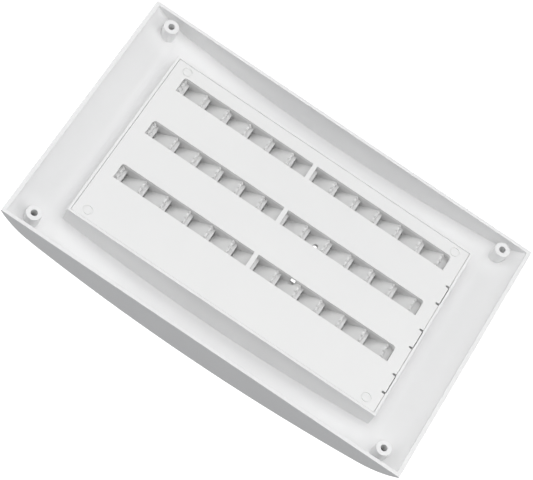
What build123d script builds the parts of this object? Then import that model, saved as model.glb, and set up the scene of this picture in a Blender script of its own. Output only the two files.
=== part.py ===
from build123d import *
import math
import os

# Ceiling-side cover of a caravan roof vent, in millimetres.
# The origin is the middle of the mounting face: +Z points up at the roof, X runs along the cover.
# The arched face hangs below Z = 0; rim, screw bosses and duct collar all end at Z = 0.

# ---- driving dimensions -------------------------------------------------------------------
LENGTH = 300.0            # rim, along X
WIDTH = 195.0             # rim, along Y
CROWN_DEPTH = 25.8        # mounting face to the outside of the arch, at the middle
WALL = 2.6                # shell thickness
RIM_BAND = 3.0            # land of the rim on the two short sides
SHOULDER_R = 48.0         # rounding between the arch and the short sides
LIP_HEIGHT = 2.0          # upright edge of the short sides, above the shoulder
EDGE_R = 1.0              # rounding of the long outer edges
RIM_R = 0.4               # rounding of the rim's own edges
FIT = 0.1                 # clearance round a piece that sits in a recess
MERGE = 0.2               # how far joined shapes run into each other

BOSS_X, BOSS_Y = 132.2, 86.1     # screw pattern, from the middle
BOSS_R = 5.3
SCREW_HOLE_R = 2.3
SCREW_SEAT = 6.3          # mounting face to the seat of the screw head
CAP_R = 4.6               # plug over the screw head, in the arched face
CAP_FACE = 1.8            # thickness of the plug's face
CAP_SKIRT = 4.0           # how far its skirt stands above that face
CAP_WALL = 1.0

COLLAR_X, COLLAR_Y = 117.0, 71.0  # outside of the duct collar, from the middle
COLLAR_WALL = 1.8
COLLAR_R = 0.35           # rounding of its lip
LEDGE_WIDTH, LEDGE_THICK = 1.6, 1.6      # support under the long edges of the plate
LEDGE_HALF, LEDGE_GAP = 109.0, 0.05

PLATE_GAP = 0.15          # all round the louvre plate
PLATE_SINK = 0.3          # plate face below the mounting face
PLATE_THICK = 2.0
PLATE_EDGE_R = 0.3
SLOT_LEFT, SLOT_RIGHT = 105.4, 105.6     # ends of the louvre slots, from the middle
SLOT_WIDTH = 12.4
SLOT_PITCH = 40.0
SLOT_COUNT = 3
SLOT_FAR_EDGE = 59.4      # far edge of the slot nearest +Y
SLOT_CORNER_R = 2.0
FLANGE = 1.5              # wall that hangs below the plate round each slot
FLANGE_DEPTH = 11.4       # from the plate face
BLADE_COUNT = 13          # slanted louvre blades in each slot
BLADE_PITCH = 17.0
BLADE_OFFSET = -2.1       # crest of the middle blade, along X
BLADE_THICK = 1.5
CREST_X, CREST_HALF, CREST_SINK = 0.5, 0.5, 3.0       # ridge, past the blade's place
LAND_START, LAND_END, LAND_SINK = 1.5, 4.0, 5.4       # lower land on its +X side
FOOT_RUN = 12.4           # the blade slants down this far on the -X side
FOOT_SINK_FAR, FOOT_SINK_NEAR = 11.2, 7.0             # and is twisted: less deep at its near end
STUD_R, STUD_HEIGHT, STUD_RISE = 1.5, 2.8, 1.9        # pointed studs along the ridge
STUD_COUNT, STUD_START, STUD_PITCH = 3, 1.3, 4.3
MID_RIB_HALF = 1.6        # upright rib on the middle blade, level with the plate
TAB_Y, TAB_PITCH, TAB_WIDTH = -7.4, 38.3, 13.6
TAB_DEPTH, TONGUE_THICK = 6.4, 1.6
NOTCH_WIDTH, NOTCH_LENGTH = 1.5, 2.6
BARB = 0.3                # reach of the snap barbs past the plate edge
BARB_GROOVE, GROOVE_DROP = 0.3, 0.8      # groove for them in the collar
BARB_RAMP, BARB_BACK, BARB_LAND = 1.5, 0.8, 0.5       # heights along the barb
TAB_GAP = 1.0             # tongue to notch
LUG_REACH, LUG_Y, LUG_WIDTH, LUG_THICK = 1.15, 38.0, 14.0, 1.8
LUG_ROOT = 2.4            # how far a lug runs in under the plate
LUG_DROP = 0.2            # top of a lug below the underside of the plate
POCKET = 1.15             # depth of a lug's pocket in the collar
POCKET_LOW, POCKET_HIGH, POCKET_SIDE = 3.0, 0.3, 1.0  # its reach past the plate's underside and the lug
MARK_X, MARK_Y, MARK_R = 106.0, 63.4, 3.6
MARK_WIDTH, MARK_DEPTH = 1.0, 0.6

WINDOW_LENGTH, WINDOW_WIDTH, WINDOW_R = 35.0, 12.0, 3.0   # air windows in the arched face
WINDOW_PITCH, WINDOW_COUNT = 40.0, 5                       # in each of two rows
WINDOW_Y = 45.0
SCREEN_Y = 8.5            # half the width of a screen strip
SCREEN_X = 103.0
SCREEN_THICK = 0.5

RUN_GAP = 0.3             # clearance above and below the damper
DAMPER_THICK = 1.6
DAMPER_X = 109.4
DAMPER_FAR, DAMPER_NEAR = 61.4, -35.6    # long edges, with the slots shut
TRAVEL = 14.4             # slides this far towards -Y to open the slots
BAR_COUNT, BAR_WIDTH = 4, 4.0            # windows in each row, and the bars between them
DAMPER_CORNER_R = 2.0
PIN_HOLE_X, PIN_HOLE_HALF = 27.2, 1.6    # small through holes beside the knob
PIN_BLADE_Y = 11.2        # in the middle slot's blade
PIN_SLIDE_NEAR, PIN_SLIDE_FAR = 13.0, 17.4       # in the slide below it
PIN_NOTCH_NEAR, PIN_NOTCH_DEPTH = 1.9, 6.2       # notch in the nearest slot's far wall
RAIL_INNER, RAIL_OUTER = 107.9, 114.9
RAIL_HALF = 64.0
RAIL_THICK = 1.6
RAIL_PAD_INNER = 105.0    # ledge on the arch that carries damper and rail
RAIL_SCREW_X, RAIL_SCREW_Y = 112.5, 57.0
RAIL_SCREW_HEAD_R, RAIL_SCREW_HEAD = 2.0, 1.4
RAIL_SCREW_R, RAIL_SCREW_LENGTH = 1.0, 6.0

KNOB_X, KNOB_Y = 27.6, 4.0
STEM_HALF_X, STEM_HALF_Y = 2.1, 6.0
KNOB_SLOT_HALF_X = 2.8
KNOB_SLOT_FAR, KNOB_SLOT_NEAR = 24.6, -17.0
KNOB_PAD_X, KNOB_PAD_Y, KNOB_PAD_THICK, KNOB_PAD_R = 18.0, 16.0, 3.0, 4.0
KNOB_GAP = 0.5            # finger pad to the arched face
KNOB_EDGE_R = 1.2
GRIP_COUNT, GRIP_PITCH, GRIP_R, GRIP_LENGTH = 5, 2.8, 0.6, 13.0
CUP_HALF_X, CUP_HALF_Y = 6.5, 6.6        # pocket in the damper above the knob
CUP_DEPTH, CUP_WALL, CUP_END = 2.6, 1.4, 1.0
RETAINER_THICK, RETAINER_GAP = 1.2, 0.3
HOLE_PLAY = 0.15          # screw holes over the shank
KNOB_SCREW_Y = 3.6
KNOB_SCREW_HEAD_R, KNOB_SCREW_HEAD = 1.8, 1.1
KNOB_SCREW_R, KNOB_SCREW_LENGTH = 0.85, 6.0

# ---- worked out ---------------------------------------------------------------------------
DEEP = 2 * CROWN_DEPTH                     # reaches through everything
ROOT_HALF = math.sqrt(0.5)
SHOULDER_X = LENGTH / 2 - SHOULDER_R * ROOT_HALF
SHOULDER_Z = SHOULDER_R * ROOT_HALF - LIP_HEIGHT
ABOVE_CROWN = SHOULDER_Z + CROWN_DEPTH
ARCH_R = (SHOULDER_X**2 + ABOVE_CROWN**2 - SHOULDER_R**2) / (2 * (ABOVE_CROWN - SHOULDER_R))
ARCH_Z = ARCH_R - CROWN_DEPTH
INNER_X = COLLAR_X - COLLAR_WALL           # inside of the collar
INNER_Y = COLLAR_Y - COLLAR_WALL
PLATE_X = INNER_X - PLATE_GAP
PLATE_Y = INNER_Y - PLATE_GAP
PLATE_TOP = -PLATE_SINK
PLATE_BOTTOM = PLATE_TOP - PLATE_THICK
DAMPER_HIGH = PLATE_TOP - FLANGE_DEPTH - RUN_GAP
DAMPER_LOW = DAMPER_HIGH - DAMPER_THICK
PAD_TOP = DAMPER_LOW - RUN_GAP
RAIL_TOP = DAMPER_HIGH + RUN_GAP + RAIL_THICK
CUP_FLOOR = DAMPER_HIGH - CUP_DEPTH
STEM_TOP = CUP_FLOOR - CUP_WALL


def arch_z(x, inset=0.0):
    """Height of the arch at x, inset towards its centre."""
    return ARCH_Z - math.sqrt((ARCH_R - inset) ** 2 - x * x)


def block(x0, x1, y0, y1, z0, z1):
    """Box between two corners."""
    middle = ((x0 + x1) / 2, (y0 + y1) / 2, (z0 + z1) / 2)
    return Pos(*middle) * Box(x1 - x0, y1 - y0, z1 - z0)


def arched_block(inset, half_x, half_y, top=0.0):
    """Everything above the arch and its shoulders, inset by that much, up to the top."""
    shoulder_r, arch_r = SHOULDER_R - inset, ARCH_R - inset
    to_shoulder = Vector(SHOULDER_X, SHOULDER_Z - ARCH_Z).normalized()
    tangent = to_shoulder * arch_r + Vector(0, ARCH_Z)
    start_z = SHOULDER_Z - math.sqrt(shoulder_r**2 - (half_x - SHOULDER_X) ** 2)
    start_angle = math.atan2(start_z - SHOULDER_Z, half_x - SHOULDER_X)
    end_angle = math.atan2(to_shoulder.Y, to_shoulder.X)
    half_angle = (start_angle + end_angle) / 2
    mid_x = SHOULDER_X + shoulder_r * math.cos(half_angle)
    mid_z = SHOULDER_Z + shoulder_r * math.sin(half_angle)
    lines = [
        Line((-half_x, top), (half_x, top)),
        Line((half_x, top), (half_x, start_z)),
        ThreePointArc((half_x, start_z), (mid_x, mid_z), (tangent.X, tangent.Y)),
        ThreePointArc((tangent.X, tangent.Y), (0, ARCH_Z - arch_r), (-tangent.X, tangent.Y)),
        ThreePointArc((-tangent.X, tangent.Y), (-mid_x, mid_z), (-half_x, start_z)),
        Line((-half_x, start_z), (-half_x, top)),
    ]
    section = Plane.XZ * make_face(lines)
    return extrude(section, amount=half_y, both=True)


def arched_sheet(low, high, x0, x1, y0, y1):
    """Curved sheet between two levels above the outside of the arch."""
    half_y = max(abs(y0), abs(y1)) + 1
    sheet = arched_block(low, COLLAR_X, half_y) - arched_block(high, COLLAR_X, half_y, top=1)
    return sheet & block(x0, x1, y0, y1, -2 * CROWN_DEPTH, 0)


def upright_slot(width, near, far):
    """Cutter through everything with round ends, long side along Y, on x = 0."""
    cutter = Rot(0, 0, 90) * extrude(SlotOverall(far - near, width), amount=DEEP, both=True)
    return Pos(0, (near + far) / 2, 0) * cutter


def rod(radius, low, high):
    """Upright round bar on the Z axis between two heights."""
    return Pos(0, 0, (low + high) / 2) * Cylinder(radius, high - low)


def pan_screw(head_r, head, shank_r, length):
    """Pan head screw with a cross recess; the underside of its head is at z = 0."""
    dome = fillet(rod(head_r, 0, head).edges().group_by(Axis.Z)[-1], head / 2)
    arm, half = 0.6 * head_r, 0.15 * head_r
    cross = block(-arm, arm, -half, half, head / 2, 2 * head)
    cross += block(-half, half, -arm, arm, head / 2, 2 * head)
    return dome + rod(shank_r, -length, head / 4) - cross


def corners(x, y):
    return [(sx * x, sy * y) for sx in (-1, 1) for sy in (-1, 1)]


def air_windows():
    """Cutters for the two rows of rounded windows in the arched face."""
    outline = RectangleRounded(WINDOW_LENGTH, WINDOW_WIDTH, WINDOW_R)
    cutter = extrude(outline, amount=-DEEP)
    middle = (WINDOW_COUNT - 1) / 2
    return [Pos((i - middle) * WINDOW_PITCH, side * WINDOW_Y, 0) * cutter
            for side in (-1, 1) for i in range(WINDOW_COUNT)]


def screen_span(side, grow):
    """Lowest and highest y of the screen strip on that side."""
    return side * WINDOW_Y - SCREEN_Y - grow, side * WINDOW_Y + SCREEN_Y + grow


def tab_places():
    return [TAB_Y + i * TAB_PITCH for i in (-1, 0, 1)]


def slot_far_edges():
    return [SLOT_FAR_EDGE - i * SLOT_PITCH for i in range(SLOT_COUNT)]


# ---- fixed pieces -------------------------------------------------------------------------
def tray():
    """Arched outer wall with its rounded rim."""
    outer = arched_block(0, LENGTH / 2, WIDTH / 2)
    long_edges = [e for e in outer.edges() if abs(abs(e.center().Y) - WIDTH / 2) < 0.01]
    long_edges = [e for e in long_edges if e.center().Z < -LIP_HEIGHT]
    outer = fillet(long_edges, EDGE_R)
    cavity = arched_block(WALL, LENGTH / 2 - RIM_BAND, WIDTH / 2 - WALL, top=1)
    rim_edges = [e for e in (outer - cavity).edges() if abs(e.center().Z) < 0.001]
    return fillet(rim_edges, RIM_R), outer


def duct_collar():
    """Rectangular wall round the plate, with ledges, lug pockets and grooves for the snap tabs."""
    collar = block(-COLLAR_X, COLLAR_X, -COLLAR_Y, COLLAR_Y, -DEEP, 0)
    collar -= block(-INNER_X, INNER_X, -INNER_Y, INNER_Y, -DEEP, 0)
    collar = fillet(collar.faces().sort_by(Axis.Z)[-1].edges(), COLLAR_R)
    ledge_top = PLATE_BOTTOM - LEDGE_GAP
    for side in (-1, 1):
        y0, y1 = sorted((side * (INNER_Y - LEDGE_WIDTH), side * (INNER_Y + MERGE)))
        collar += block(-LEDGE_HALF, LEDGE_HALF, y0, y1, ledge_top - LEDGE_THICK, ledge_top)
        half = LUG_WIDTH / 2 + POCKET_SIDE
        collar -= block(-INNER_X - POCKET, -INNER_X + 1, side * LUG_Y - half, side * LUG_Y + half,
                        PLATE_BOTTOM - POCKET_LOW, PLATE_BOTTOM + POCKET_HIGH)
    for y in tab_places():
        collar -= block(INNER_X - 1, INNER_X + BARB_GROOVE, y - TAB_WIDTH / 2, y + TAB_WIDTH / 2,
                        PLATE_TOP - TAB_DEPTH - GROOVE_DROP, 1)
    return collar


def cover_shell():
    shell, outer = tray()
    post = fillet(rod(BOSS_R, -DEEP, 0).edges().sort_by(Axis.Z)[-1], RIM_R)
    inside = duct_collar() + [Pos(x, y, 0) * post for x, y in corners(BOSS_X, BOSS_Y)]
    for side in (-1, 1):
        x0, x1 = sorted((side * RAIL_PAD_INNER, side * (INNER_X + MERGE)))
        inside += block(x0, x1, -RAIL_HALF, RAIL_HALF, -DEEP, PAD_TOP)
    shell += inside & outer
    shell -= air_windows()
    for x, y in corners(BOSS_X, BOSS_Y):
        shell -= Pos(x, y, 0) * rod(SCREW_HOLE_R, -DEEP, 1)
        shell -= Pos(x, y, 0) * rod(CAP_R + FIT, -DEEP, -SCREW_SEAT)
    shell -= Pos(KNOB_X, 0, 0) * upright_slot(2 * KNOB_SLOT_HALF_X, KNOB_SLOT_NEAR, KNOB_SLOT_FAR)
    for side in (-1, 1):
        y0, y1 = screen_span(side, 2 * FIT)
        end = SCREEN_X + 2 * FIT
        shell -= arched_sheet(WALL - SCREEN_THICK - FIT, WALL + 4 * FIT, -end, end, y0, y1)
    for x, y in corners(RAIL_SCREW_X, RAIL_SCREW_Y):
        shell -= Pos(x, y, 0) * rod(RAIL_SCREW_R + FIT / 2, RAIL_TOP - RAIL_SCREW_LENGTH - 3 * FIT, 0)
    return shell


def screw_caps():
    """Four plugs that follow the arched face and cover the screw heads."""
    caps = []
    outer = arched_block(0, LENGTH / 2, WIDTH / 2)
    core = arched_block(CAP_FACE, LENGTH / 2 - 1, WIDTH / 2 - 1, top=1)
    skirt_top = arch_z(BOSS_X, CAP_FACE) + CAP_SKIRT
    ring = rod(CAP_R, -DEEP, skirt_top) - rod(CAP_R - CAP_WALL, -DEEP, skirt_top)
    for x, y in corners(BOSS_X, BOSS_Y):
        face = (outer - core) & (Pos(x, y, 0) * rod(CAP_R, -DEEP, 0))
        caps.append(face + ((Pos(x, y, 0) * ring) & outer))
    return caps


def guide_rail(side):
    """Strip along one short side: it stands on the ledge and holds the damper down."""
    low, groove_top = PAD_TOP, DAMPER_HIGH + RUN_GAP
    x0, x1 = sorted((side * RAIL_INNER, side * RAIL_OUTER))
    rail = block(x0, x1, -RAIL_HALF, RAIL_HALF, low, RAIL_TOP)
    x0, x1 = sorted((side * (RAIL_INNER - 1), side * (DAMPER_X + RUN_GAP)))
    rail -= block(x0, x1, -RAIL_HALF - 1, RAIL_HALF + 1, low - 1, groove_top)
    for x, y in corners(RAIL_SCREW_X, RAIL_SCREW_Y):
        rail -= Pos(x, y, 0) * rod(RAIL_SCREW_R + HOLE_PLAY, -DEEP, 0)
    return rail


def rail_screws():
    """Four pan head screws through the rails into the ledges."""
    screw = pan_screw(RAIL_SCREW_HEAD_R, RAIL_SCREW_HEAD, RAIL_SCREW_R, RAIL_SCREW_LENGTH)
    return [Pos(x, y, RAIL_TOP) * screw for x, y in corners(RAIL_SCREW_X, RAIL_SCREW_Y)]


def insect_screen(side):
    """Mesh strip in its recess behind one row of air windows."""
    y0, y1 = screen_span(side, 0.0)
    return arched_sheet(WALL - SCREEN_THICK - FIT / 2, WALL - FIT / 2, -SCREEN_X, SCREEN_X, y0, y1)


# ---- sliding damper -----------------------------------------------------------------------
def damper_slide():
    """Flat slide whose bars shut the louvre slots; beyond each bar is a row of windows."""
    slide = block(-DAMPER_X, DAMPER_X, DAMPER_NEAR, DAMPER_FAR, DAMPER_LOW, DAMPER_HIGH)
    slide = fillet(slide.edges().filter_by(Axis.Z), DAMPER_CORNER_R)
    pitch = 2 * SLOT_LEFT / BAR_COUNT
    window = extrude(RectangleRounded(pitch - BAR_WIDTH, SLOT_WIDTH, DAMPER_CORNER_R), amount=-DEEP)
    for far in slot_far_edges()[1:]:
        y = far + TRAVEL - SLOT_WIDTH / 2
        for i in range(BAR_COUNT):
            slide -= Pos((i - (BAR_COUNT - 1) / 2) * pitch, y, 0) * window
    slide -= Pos(PIN_HOLE_X, 0, 0) * upright_slot(2 * PIN_HOLE_HALF, PIN_SLIDE_NEAR, PIN_SLIDE_FAR)
    at = Pos(KNOB_X, KNOB_Y, 0)
    inner_x, inner_y = CUP_HALF_X, CUP_HALF_Y - CUP_END
    cup = block(-CUP_HALF_X - CUP_WALL, CUP_HALF_X + CUP_WALL, -CUP_HALF_Y, CUP_HALF_Y,
                STEM_TOP, DAMPER_HIGH)
    pocket = block(-inner_x, inner_x, -inner_y, inner_y, CUP_FLOOR, 0)
    slide = slide + at * cup - at * pocket
    for side in (-1, 1):
        slide -= at * Pos(0, side * KNOB_SCREW_Y, 0) * rod(KNOB_SCREW_R + HOLE_PLAY, -DEEP, 0)
    return slide


def damper_knob():
    """Finger pad below the arched face, with the stem that reaches up through it to the slide."""
    pad_top = arch_z(KNOB_X - KNOB_PAD_X / 2) - KNOB_GAP
    pad = extrude(RectangleRounded(KNOB_PAD_X, KNOB_PAD_Y, KNOB_PAD_R), amount=-KNOB_PAD_THICK)
    pad = fillet(pad.edges().group_by(Axis.Z)[0], KNOB_EDGE_R)
    groove = Rot(0, 90, 0) * Cylinder(GRIP_R, GRIP_LENGTH)
    for i in range(GRIP_COUNT):
        pad -= Pos(0, (i - (GRIP_COUNT - 1) / 2) * GRIP_PITCH, -KNOB_PAD_THICK) * groove
    height = STEM_TOP - pad_top
    stem = extrude(SlotOverall(2 * STEM_HALF_Y, 2 * STEM_HALF_X), amount=height)
    knob = pad + Rot(0, 0, 90) * stem
    hole = rod(KNOB_SCREW_R, height - KNOB_SCREW_LENGTH, height + 1)
    for side in (-1, 1):
        knob -= Pos(0, side * KNOB_SCREW_Y, 0) * hole
    return Pos(KNOB_X, KNOB_Y, pad_top) * knob


def knob_retainer():
    """Small plate in the slide's pocket that spreads the clamping of the knob screws."""
    half_x, half_y = CUP_HALF_X - RETAINER_GAP, CUP_HALF_Y - CUP_END - RETAINER_GAP
    plate = block(-half_x, half_x, -half_y, half_y, CUP_FLOOR, CUP_FLOOR + RETAINER_THICK)
    for side in (-1, 1):
        plate -= Pos(0, side * KNOB_SCREW_Y, 0) * rod(KNOB_SCREW_R + HOLE_PLAY, -DEEP, 0)
    return Pos(KNOB_X, KNOB_Y, 0) * plate


def knob_screws():
    """Two small pan head screws that pull the knob up against the slide."""
    screw = pan_screw(KNOB_SCREW_HEAD_R, KNOB_SCREW_HEAD, KNOB_SCREW_R, KNOB_SCREW_LENGTH)
    seat = CUP_FLOOR + RETAINER_THICK
    return [Pos(KNOB_X, KNOB_Y + side * KNOB_SCREW_Y, seat) * screw for side in (-1, 1)]


# ---- louvre plate -------------------------------------------------------------------------
def slot_face(grow=0.0):
    """Outline of one louvre slot; its far edge is at y = 0 and its far corners are rounded."""
    left, right = -SLOT_LEFT - grow, SLOT_RIGHT + grow
    near, far = -SLOT_WIDTH - grow, grow
    face = make_face(Polyline((left, near), (right, near), (right, far), (left, far), close=True))
    far_corners = [v for v in face.vertices() if v.Y > -1]
    return fillet(far_corners, SLOT_CORNER_R + grow)


def prism(points, near, far):
    """Bar along Y with that outline in X and Z."""
    section = Plane.XZ * make_face(Polyline(*points, close=True))
    return Pos(0, near, 0) * extrude(section, amount=near - far)


def blade_section(foot_sink, y):
    """Outline of a blade in the plane at y, slanting from the ridge to its foot."""
    outline = [
        (-FOOT_RUN, -foot_sink),
        (CREST_X - CREST_HALF, -CREST_SINK),
        (CREST_X + CREST_HALF, -CREST_SINK),
        (LAND_START, -LAND_SINK),
        (LAND_END, -LAND_SINK - 0.2),
        (LAND_END, -LAND_SINK - BLADE_THICK),
        (CREST_X, -LAND_SINK - BLADE_THICK),
        (BLADE_THICK - FOOT_RUN, -foot_sink - 0.15),
    ]
    return Pos(0, y, 0) * (Plane.XZ * make_face(Polyline(*outline, close=True)))


def blade():
    """Twisted louvre blade across a slot, with a ridge, a land and pointed studs."""
    sections = [blade_section(FOOT_SINK_NEAR, -SLOT_WIDTH - MERGE), blade_section(FOOT_SINK_FAR, MERGE)]
    bar = loft(sections, ruled=True)
    stud = Pos(CREST_X, 0, STUD_RISE - CREST_SINK - STUD_HEIGHT / 2) * Cone(STUD_R, 0.15, STUD_HEIGHT)
    return bar + [Pos(0, -STUD_START - i * STUD_PITCH, 0) * stud for i in range(STUD_COUNT)]


def grille():
    """Wall round one slot with all its blades."""
    wall = extrude(slot_face(FLANGE), amount=-FLANGE_DEPTH) - extrude(slot_face(), amount=-DEEP)
    wall &= block(-LENGTH, LENGTH, -WIDTH, WIDTH, -DEEP, -PLATE_THICK / 2)
    near, far = -SLOT_WIDTH - MERGE, MERGE
    left, right = -SLOT_LEFT - MERGE, SLOT_RIGHT + MERGE
    inside = block(left, right, near - 1, far + 1, -DEEP, 0)
    half = (BLADE_COUNT - 1) // 2
    one = blade()
    bars = [(Pos(BLADE_OFFSET + i * BLADE_PITCH, 0, 0) * one) & inside for i in range(-half, half + 1)]
    last = BLADE_OFFSET + half * BLADE_PITCH + LAND_END
    bars.append(block(last - 1, right, near, far, -LAND_SINK - BLADE_THICK, -LAND_SINK))
    bars.append(block(BLADE_OFFSET - MID_RIB_HALF, BLADE_OFFSET + MID_RIB_HALF, near, far,
                      -FLANGE_DEPTH / 2, 0))
    return wall + bars


def snap_tabs():
    """Tongues with a barb along the +X edge of the plate."""
    half = TAB_WIDTH / 2 - TAB_GAP
    ramp_top = BARB_RAMP + BARB_LAND
    nose = [(0, ramp_top + BARB_BACK), (BARB, ramp_top), (BARB, BARB_RAMP), (0, 0)]
    tabs = []
    for y in tab_places():
        tongue = block(PLATE_X - TONGUE_THICK, PLATE_X, y - half, y + half,
                       -TAB_DEPTH, -PLATE_THICK / 2)
        tabs.append(tongue + Pos(PLATE_X, y + half, -TAB_DEPTH) * prism(nose, -2 * half, 0))
    return tabs


def plate_lugs():
    """Fixed lugs under the -X edge, which hook into the collar."""
    lugs = []
    for side in (-1, 1):
        y0, y1 = side * LUG_Y - LUG_WIDTH / 2, side * LUG_Y + LUG_WIDTH / 2
        top = -PLATE_THICK - LUG_DROP
        hook = block(-PLATE_X - LUG_REACH, -PLATE_X + LUG_ROOT, y0, y1, top - LUG_THICK, top)
        lugs.append(hook + block(LUG_ROOT / 4 - PLATE_X, LUG_ROOT - PLATE_X, y0, y1, top - 1, -1))
    return lugs


def louvre_plate():
    plate = block(-PLATE_X, PLATE_X, -PLATE_Y, PLATE_Y, -PLATE_THICK, 0)
    plate = fillet(plate.faces().sort_by(Axis.Z)[-1].edges(), PLATE_EDGE_R)
    opening = extrude(slot_face(), amount=-DEEP)
    one = grille()
    for y in slot_far_edges():
        plate -= Pos(0, y, 0) * opening
        plate += Pos(0, y, 0) * one
    plate -= Pos(PIN_HOLE_X, PIN_BLADE_Y, 0) * rod(PIN_HOLE_HALF, -DEEP, 0)
    wall = slot_far_edges()[-1]
    plate -= block(PIN_HOLE_X - PIN_HOLE_HALF, PIN_HOLE_X + PIN_HOLE_HALF, wall - PIN_NOTCH_NEAR,
                   wall + FLANGE + 0.5, -PIN_NOTCH_DEPTH - BLADE_THICK, -PLATE_THICK)
    plate += snap_tabs() + plate_lugs()
    notch = extrude(SlotOverall(2 * NOTCH_LENGTH, NOTCH_WIDTH), amount=DEEP, both=True)
    for y in tab_places():
        for side in (-1, 1):
            plate -= Pos(PLATE_X, y + side * (TAB_WIDTH + NOTCH_WIDTH) / 2, 0) * notch

    # Shallow round marks near the corners, where locating pins stand below.
    ring = Cylinder(MARK_R, 2 * MARK_DEPTH) - Cylinder(MARK_R - MARK_WIDTH, 2 * MARK_DEPTH)
    plate -= [Pos(x, y, 0) * ring for x, y in corners(MARK_X, MARK_Y)]
    return Pos(0, 0, PLATE_TOP) * plate


PIECES = {
    "cover_shell": cover_shell,
    "screw_caps": screw_caps,
    "guide_rail_left": lambda: guide_rail(-1),
    "guide_rail_right": lambda: guide_rail(1),
    "rail_screws": rail_screws,
    "insect_screen_near": lambda: insect_screen(-1),
    "insect_screen_far": lambda: insect_screen(1),
    "damper_slide": damper_slide,
    "damper_knob": damper_knob,
    "knob_retainer": knob_retainer,
    "knob_screws": knob_screws,
    "louvre_plate": louvre_plate,
}

os.makedirs("parts", exist_ok=True)
for name, build in PIECES.items():
    shape = build()
    solids = shape if isinstance(shape, list) else shape.solids()
    export_step(Compound(children=list(solids)), f"parts/{name}.step")
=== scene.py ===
import math

import bpy
from mathutils import Matrix, Vector


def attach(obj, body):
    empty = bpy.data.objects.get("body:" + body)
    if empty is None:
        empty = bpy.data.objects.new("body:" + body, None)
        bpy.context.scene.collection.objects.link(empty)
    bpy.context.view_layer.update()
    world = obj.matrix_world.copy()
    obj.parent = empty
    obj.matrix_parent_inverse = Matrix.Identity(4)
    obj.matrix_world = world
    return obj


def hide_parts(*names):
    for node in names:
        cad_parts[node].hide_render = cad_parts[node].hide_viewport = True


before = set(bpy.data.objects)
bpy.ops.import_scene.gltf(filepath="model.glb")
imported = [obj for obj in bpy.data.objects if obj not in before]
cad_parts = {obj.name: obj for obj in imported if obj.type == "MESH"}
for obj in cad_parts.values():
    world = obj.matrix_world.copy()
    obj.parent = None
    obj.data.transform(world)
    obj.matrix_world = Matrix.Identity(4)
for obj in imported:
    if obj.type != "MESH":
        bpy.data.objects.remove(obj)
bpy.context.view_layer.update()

# Arched ceiling vent cover in semi-gloss white plastic, seen from above its mounting side.
# Everything is in metres, in the frame of the CAD model: mounting face at Z = 0, arch below.

# ---- camera -------------------------------------------------------------------------------
CAMERA_AZIMUTH = 0.8         # degrees, 0 looks along +Y
CAMERA_ELEVATION = 60.0
CAMERA_ROLL = -34.63
CAMERA_DISTANCE = 1.54765
CAMERA_TARGET = Vector((-0.00159, -0.0087, 0.0))
LENS = 162.5                 # mm
SENSOR_WIDTH = 36.0          # mm, along the long side of the picture
CLIP_NEAR, CLIP_FAR = 0.05, 200.0

# ---- studio -------------------------------------------------------------------------------
FLOOR_Z = -3.0               # far below the cover, so that no shadow of it shows
FLOOR_RADIUS = 12.0          # of the dome too
FLOOR_SIDES = 96
DOME_SEGMENTS, DOME_RINGS = 48, 24
STAGE_GREY = (0.9, 0.9, 0.9, 1)
STAGE_GLOW = (1, 1, 1, 1)
SURROUND = 0.19              # soft light from all round
SURROUND_COLOUR = (0.97, 0.985, 1.0, 1)
LIGHT_DISTANCE, LIGHT_SIZE = 2.4, 1.4
SOFTBOXES = {                # azimuth from +X towards +Y, elevation, watts
    "overhead": (0, 90, 8.8),
    "right": (0, 28, 12.6),
    "left": (180, 28, 10.5),
    "left_near": (225, 28, 7.0),
    "right_near_high": (315, 60, 10.8),
    "right_far_high": (45, 60, 8.4),
    "left_far_high": (135, 60, 8.0),
    "left_near_high": (240, 60, 6.0),
    "table_bounce": (270, -25, 9.0),
    "under_far": (90, -55, 19.0),
    "under_right": (20, -50, 13.0),
}
BOUNCE_TINT = (0.965, 0.975, 1.0)      # light from below

# ---- materials, with noise scales per metre -----------------------------------------------
NOISE_LOW, NOISE_HIGH = 0.25, 0.75     # most of a noise texture lies between these
PATCH_SCALE, GLOSS_SCALE, WAVE_SCALE, GRAIN_SCALE = 9.0, 38.0, 55.0, 900.0
PATCH_START, PATCH_END = 0.3, 0.7
PATCH_TONE = 0.98                      # a patch against the plain colour
PATCH_BLUE = 1.004                     # and a trace bluer
GLOSS_SPREAD = 0.06                    # change of roughness either way
WAVE_STRENGTH, WAVE_HEIGHT = 0.10, 0.0006
GRAIN_STRENGTH, GRAIN_HEIGHT = 0.05, 0.00008
PLASTIC_IOR = 1.5
PAINTED_SHADE_TOP, PAINTED_SHADE_BOTTOM = -0.0021, -0.0036     # heights between which the plate's colour is darkened, as painted shade inside the slots
BLOOM_SCALE = 1400.0
ZINC_DARK, ZINC_PALE = (0.42, 0.43, 0.45, 1), (0.72, 0.72, 0.73, 1)
ZINC_SMOOTH, ZINC_ROUGH = 0.28, 0.46

# ---- woven insect screens -----------------------------------------------------------------
WIRE = 0.00026               # diameter
MESH_PITCH = 0.0016
MESH_STEPS = 4               # points along a wire for each crossing
WIRE_SIDES = 5
WEAVE = 0.45                 # rise and fall of a wire, in wire diameters
STRIP_HALF = 0.00025         # half the thickness of the strip that the mesh stands for
STRIP_END = 0.0004           # what counts as the strip's end


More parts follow.
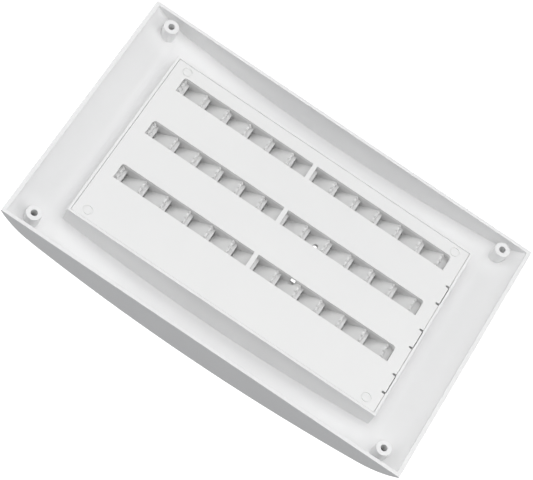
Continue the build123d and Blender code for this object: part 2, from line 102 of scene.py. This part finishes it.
def make_camera():
    """Camera at a distance from its target, by azimuth, elevation and roll."""
    az, el, roll = (math.radians(a) for a in (CAMERA_AZIMUTH, CAMERA_ELEVATION, CAMERA_ROLL))
    forward = Vector((math.sin(az) * math.cos(el), math.cos(az) * math.cos(el), -math.sin(el)))
    right = Vector((math.cos(az), -math.sin(az), 0.0))
    up = right.cross(forward)
    right_rolled = right * math.cos(roll) - up * math.sin(roll)
    up_rolled = right * math.sin(roll) + up * math.cos(roll)
    camera = bpy.data.objects.new("camera", bpy.data.cameras.new("camera"))
    bpy.context.scene.collection.objects.link(camera)
    turn = Matrix((right_rolled, up_rolled, -forward)).transposed().to_4x4()
    camera.matrix_world = Matrix.Translation(CAMERA_TARGET - forward * CAMERA_DISTANCE) @ turn
    camera.data.sensor_width = SENSOR_WIDTH
    camera.data.lens = LENS
    camera.data.clip_start = CLIP_NEAR
    camera.data.clip_end = CLIP_FAR
    bpy.context.scene.camera = camera


class Graph:
    """Short hand for building a material's nodes."""

    def __init__(self, name):
        self.material = bpy.data.materials.new(name)
        self.material.use_nodes = True
        self.tree = self.material.node_tree
        self.shader = self.tree.nodes["Principled BSDF"]

    def node(self, kind, **values):
        made = self.tree.nodes.new(kind)
        for key, value in values.items():
            if key in made.inputs:
                made.inputs[key].default_value = value
            else:
                setattr(made, key, value)
        return made

    def link(self, source, output, target, socket):
        self.tree.links.new(source.outputs[output], target.inputs[socket])

    def noise(self, scale, detail=2.0, roughness=0.5):
        coordinates = self.node("ShaderNodeTexCoord")
        made = self.node("ShaderNodeTexNoise", Scale=scale, Detail=detail, Roughness=roughness)
        self.link(coordinates, "Object", made, "Vector")
        return made

    def span(self, source, output, low, high):
        """Maps a noise value to a range."""
        made = self.node("ShaderNodeMapRange")
        made.inputs["From Min"].default_value = NOISE_LOW
        made.inputs["From Max"].default_value = NOISE_HIGH
        made.inputs["To Min"].default_value = low
        made.inputs["To Max"].default_value = high
        self.link(source, output, made, "Value")
        return made


def moulded_plastic(name, colour, roughness, painted_slot_shade=1.0):
    """White moulded plastic: slightly uneven tone, soft gloss patches and a fine skin.

    A slot shade under 1 paints shade into the colour: it darkens the colour between the two
    shade heights, and so inside the slots.
    """
    g = Graph(name)
    patches = g.noise(PATCH_SCALE, detail=3.0)
    speckle = g.noise(GRAIN_SCALE, detail=2.0)
    ramp = g.node("ShaderNodeValToRGB")
    ramp.color_ramp.elements[0].position = PATCH_START
    ramp.color_ramp.elements[1].position = PATCH_END
    red, green, blue = (c * PATCH_TONE for c in colour)
    ramp.color_ramp.elements[0].color = (red, green, blue * PATCH_BLUE, 1)
    ramp.color_ramp.elements[1].color = (*colour, 1)
    g.link(patches, "Fac", ramp, "Fac")
    # painted shade: the colour is darkened inside the slots, graded by height
    if painted_slot_shade < 1.0:
        place = g.node("ShaderNodeTexCoord")
        parts = g.node("ShaderNodeSeparateXYZ")
        g.link(place, "Object", parts, "Vector")
        shade_by_height = g.node("ShaderNodeMapRange")
        shade_by_height.inputs["From Min"].default_value = PAINTED_SHADE_BOTTOM
        shade_by_height.inputs["From Max"].default_value = PAINTED_SHADE_TOP
        shade_by_height.inputs["To Min"].default_value = painted_slot_shade
        shade_by_height.inputs["To Max"].default_value = 1.0
        g.link(parts, "Z", shade_by_height, "Value")
        shade = g.node("ShaderNodeVectorMath", operation="SCALE")
        g.link(ramp, "Color", shade, "Vector")
        g.link(shade_by_height, "Result", shade, "Scale")
        g.link(shade, "Vector", g.shader, "Base Color")
    else:
        g.link(ramp, "Color", g.shader, "Base Color")
    gloss = g.noise(GLOSS_SCALE, detail=4.0)
    rough = g.span(gloss, "Fac", roughness - GLOSS_SPREAD, roughness + GLOSS_SPREAD)
    g.link(rough, "Result", g.shader, "Roughness")
    wave = g.noise(WAVE_SCALE, detail=1.0)
    bump_wave = g.node("ShaderNodeBump", Strength=WAVE_STRENGTH, Distance=WAVE_HEIGHT)
    g.link(wave, "Fac", bump_wave, "Height")
    bump_grain = g.node("ShaderNodeBump", Strength=GRAIN_STRENGTH, Distance=GRAIN_HEIGHT)
    g.link(speckle, "Fac", bump_grain, "Height")
    g.link(bump_wave, "Normal", bump_grain, "Normal")
    g.link(bump_grain, "Normal", g.shader, "Normal")
    g.shader.inputs["IOR"].default_value = PLASTIC_IOR
    return g.material


def zinc_steel(name):
    """Bright zinc plate with a faint mottled bloom."""
    g = Graph(name)
    bloom = g.noise(BLOOM_SCALE, detail=3.0)
    ramp = g.node("ShaderNodeValToRGB")
    ramp.color_ramp.elements[0].color = ZINC_DARK
    ramp.color_ramp.elements[1].color = ZINC_PALE
    g.link(bloom, "Fac", ramp, "Fac")
    g.link(ramp, "Color", g.shader, "Base Color")
    rough = g.span(bloom, "Fac", ZINC_SMOOTH, ZINC_ROUGH)
    g.link(rough, "Result", g.shader, "Roughness")
    g.shader.inputs["Metallic"].default_value = 1.0
    return g.material


def dress(node, material):
    """Gives a CAD node its material."""
    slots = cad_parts[node].data.materials
    slots.clear()
    slots.append(material)


def softbox(name, azimuth, elevation, power):
    """Round softbox aimed at the middle of the cover."""
    az, el = math.radians(azimuth), math.radians(elevation)
    place = Vector((math.cos(az) * math.cos(el), math.sin(az) * math.cos(el), math.sin(el)))
    data = bpy.data.lights.new(name, "AREA")
    data.shape = "DISK"
    data.size = LIGHT_SIZE
    data.energy = power
    if elevation < 0:
        data.color = BOUNCE_TINT
    light = bpy.data.objects.new(name, data)
    bpy.context.scene.collection.objects.link(light)
    light.location = place * LIGHT_DISTANCE
    light.rotation_euler = place.to_track_quat("Z", "Y").to_euler()


def stage_surface(piece, name):
    """Even white surface that the camera sees, and that leaves the light on the cover alone."""
    piece.name = name
    g = Graph(name)
    g.shader.inputs["Base Color"].default_value = STAGE_GREY
    g.shader.inputs["Emission Color"].default_value = STAGE_GLOW
    g.shader.inputs["Emission Strength"].default_value = 1.0
    piece.data.materials.append(g.material)
    piece.visible_diffuse = False
    piece.visible_glossy = False
    piece.visible_shadow = False


def make_studio():
    """Pale floor far below, a white dome round it, and large softboxes on all sides."""
    world = bpy.data.worlds.new("studio")
    world.use_nodes = True
    bpy.context.scene.world = world
    back = world.node_tree.nodes["Background"]
    back.inputs["Color"].default_value = SURROUND_COLOUR
    back.inputs["Strength"].default_value = SURROUND
    bpy.ops.mesh.primitive_circle_add(vertices=FLOOR_SIDES, radius=FLOOR_RADIUS,
                                      fill_type="NGON", location=(0, 0, FLOOR_Z))
    stage_surface(bpy.context.object, "studio_floor")
    bpy.ops.mesh.primitive_uv_sphere_add(segments=DOME_SEGMENTS, ring_count=DOME_RINGS,
                                         radius=FLOOR_RADIUS)
    stage_surface(bpy.context.object, "studio_backdrop")
    for name, (azimuth, elevation, power) in SOFTBOXES.items():
        softbox(name, azimuth, elevation, power)
    bpy.context.scene.view_settings.view_transform = "Standard"


def tube(points, vertices, faces):
    """Adds a closed round wire along a row of points in a plane of constant x or constant y."""
    radius, sides = WIRE / 2, WIRE_SIDES
    first = len(vertices)
    last = len(points) - 1
    for i, point in enumerate(points):
        along = (points[min(i + 1, last)] - points[max(i - 1, 0)]).normalized()
        side = along.cross(Vector((0, 0, 1))).normalized()
        up = side.cross(along)
        for k in range(sides):
            turn = 2 * math.pi * k / sides
            vertices.append(point + (side * math.cos(turn) + up * math.sin(turn)) * radius)
    for i in range(last):
        for k in range(sides):
            a, b = first + i * sides + k, first + i * sides + (k + 1) % sides
            faces.append((a, b, b + sides, a + sides))
    faces.append(tuple(first + k for k in range(sides))[::-1])
    faces.append(tuple(first + last * sides + k for k in range(sides)))


def woven_screen(node, name, material):
    """Plain-weave wire cloth on the curve of the CAD strip that it replaces."""
    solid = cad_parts[node]
    corners = [solid.matrix_world @ v.co for v in solid.data.vertices]
    half_x = max(v.x for v in corners)
    y0, y1 = min(v.y for v in corners), max(v.y for v in corners)
    ends = [v.z for v in corners if v.x > half_x - STRIP_END]
    end_z = (min(ends) + max(ends)) / 2
    low_z = min(v.z for v in corners) + STRIP_HALF
    rise = end_z - low_z
    radius = (half_x**2 + rise**2) / (2 * rise)
    half_x -= WIRE
    y0, y1 = y0 + WIRE, y1 - WIRE

    def height(x, wave):
        return low_z + radius - math.sqrt(radius**2 - x * x) + WEAVE * WIRE * wave

    long_count = int((y1 - y0) / MESH_PITCH) + 1
    cross_count = int(2 * half_x / MESH_PITCH) + 1
    pitch_y, pitch_x = (y1 - y0) / (long_count - 1), 2 * half_x / (cross_count - 1)
    vertices, faces = [], []
    for j in range(long_count):
        row = []
        for i in range((cross_count - 1) * MESH_STEPS + 1):
            t = i / MESH_STEPS
            x = -half_x + t * pitch_x
            row.append(Vector((x, y0 + j * pitch_y, height(x, math.cos(math.pi * (t + j))))))
        tube(row, vertices, faces)
    for i in range(cross_count):
        row = []
        x = -half_x + i * pitch_x
        for j in range((long_count - 1) * MESH_STEPS + 1):
            t = j / MESH_STEPS
            row.append(Vector((x, y0 + t * pitch_y, height(x, -math.cos(math.pi * (t + i))))))
        tube(row, vertices, faces)
    mesh = bpy.data.meshes.new(name)
    mesh.from_pydata([tuple(v) for v in vertices], [], faces)
    for polygon in mesh.polygons:
        polygon.use_smooth = True
    piece = bpy.data.objects.new(name, mesh)
    bpy.context.scene.collection.objects.link(piece)
    mesh.materials.append(material)
    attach(piece, "cover")
    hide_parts(node)


make_camera()
make_studio()

shell = moulded_plastic("shell_white", (0.83, 0.83, 0.83), 0.38)
# the plate's colour carries painted shade inside its slots
plate = moulded_plastic("plate_white", (0.82, 0.82, 0.815), 0.34, painted_slot_shade=0.82)
damper = moulded_plastic("damper_white", (0.82, 0.82, 0.815), 0.48)
knob = moulded_plastic("knob_white", (0.80, 0.80, 0.795), 0.42)
steel = zinc_steel("zinc_plate")
wire = zinc_steel("screen_wire")

for name in ("cover_shell", "screw_caps"):
    dress(name, shell)
dress("louvre_plate", plate)
for name in ("guide_rail_left", "guide_rail_right", "damper_slide", "knob_retainer"):
    dress(name, damper)
dress("damper_knob", knob)
for name in ("rail_screws", "knob_screws"):
    dress(name, steel)
woven_screen("insect_screen_near", "screen_cloth_near", wire)
woven_screen("insect_screen_far", "screen_cloth_far", wire)
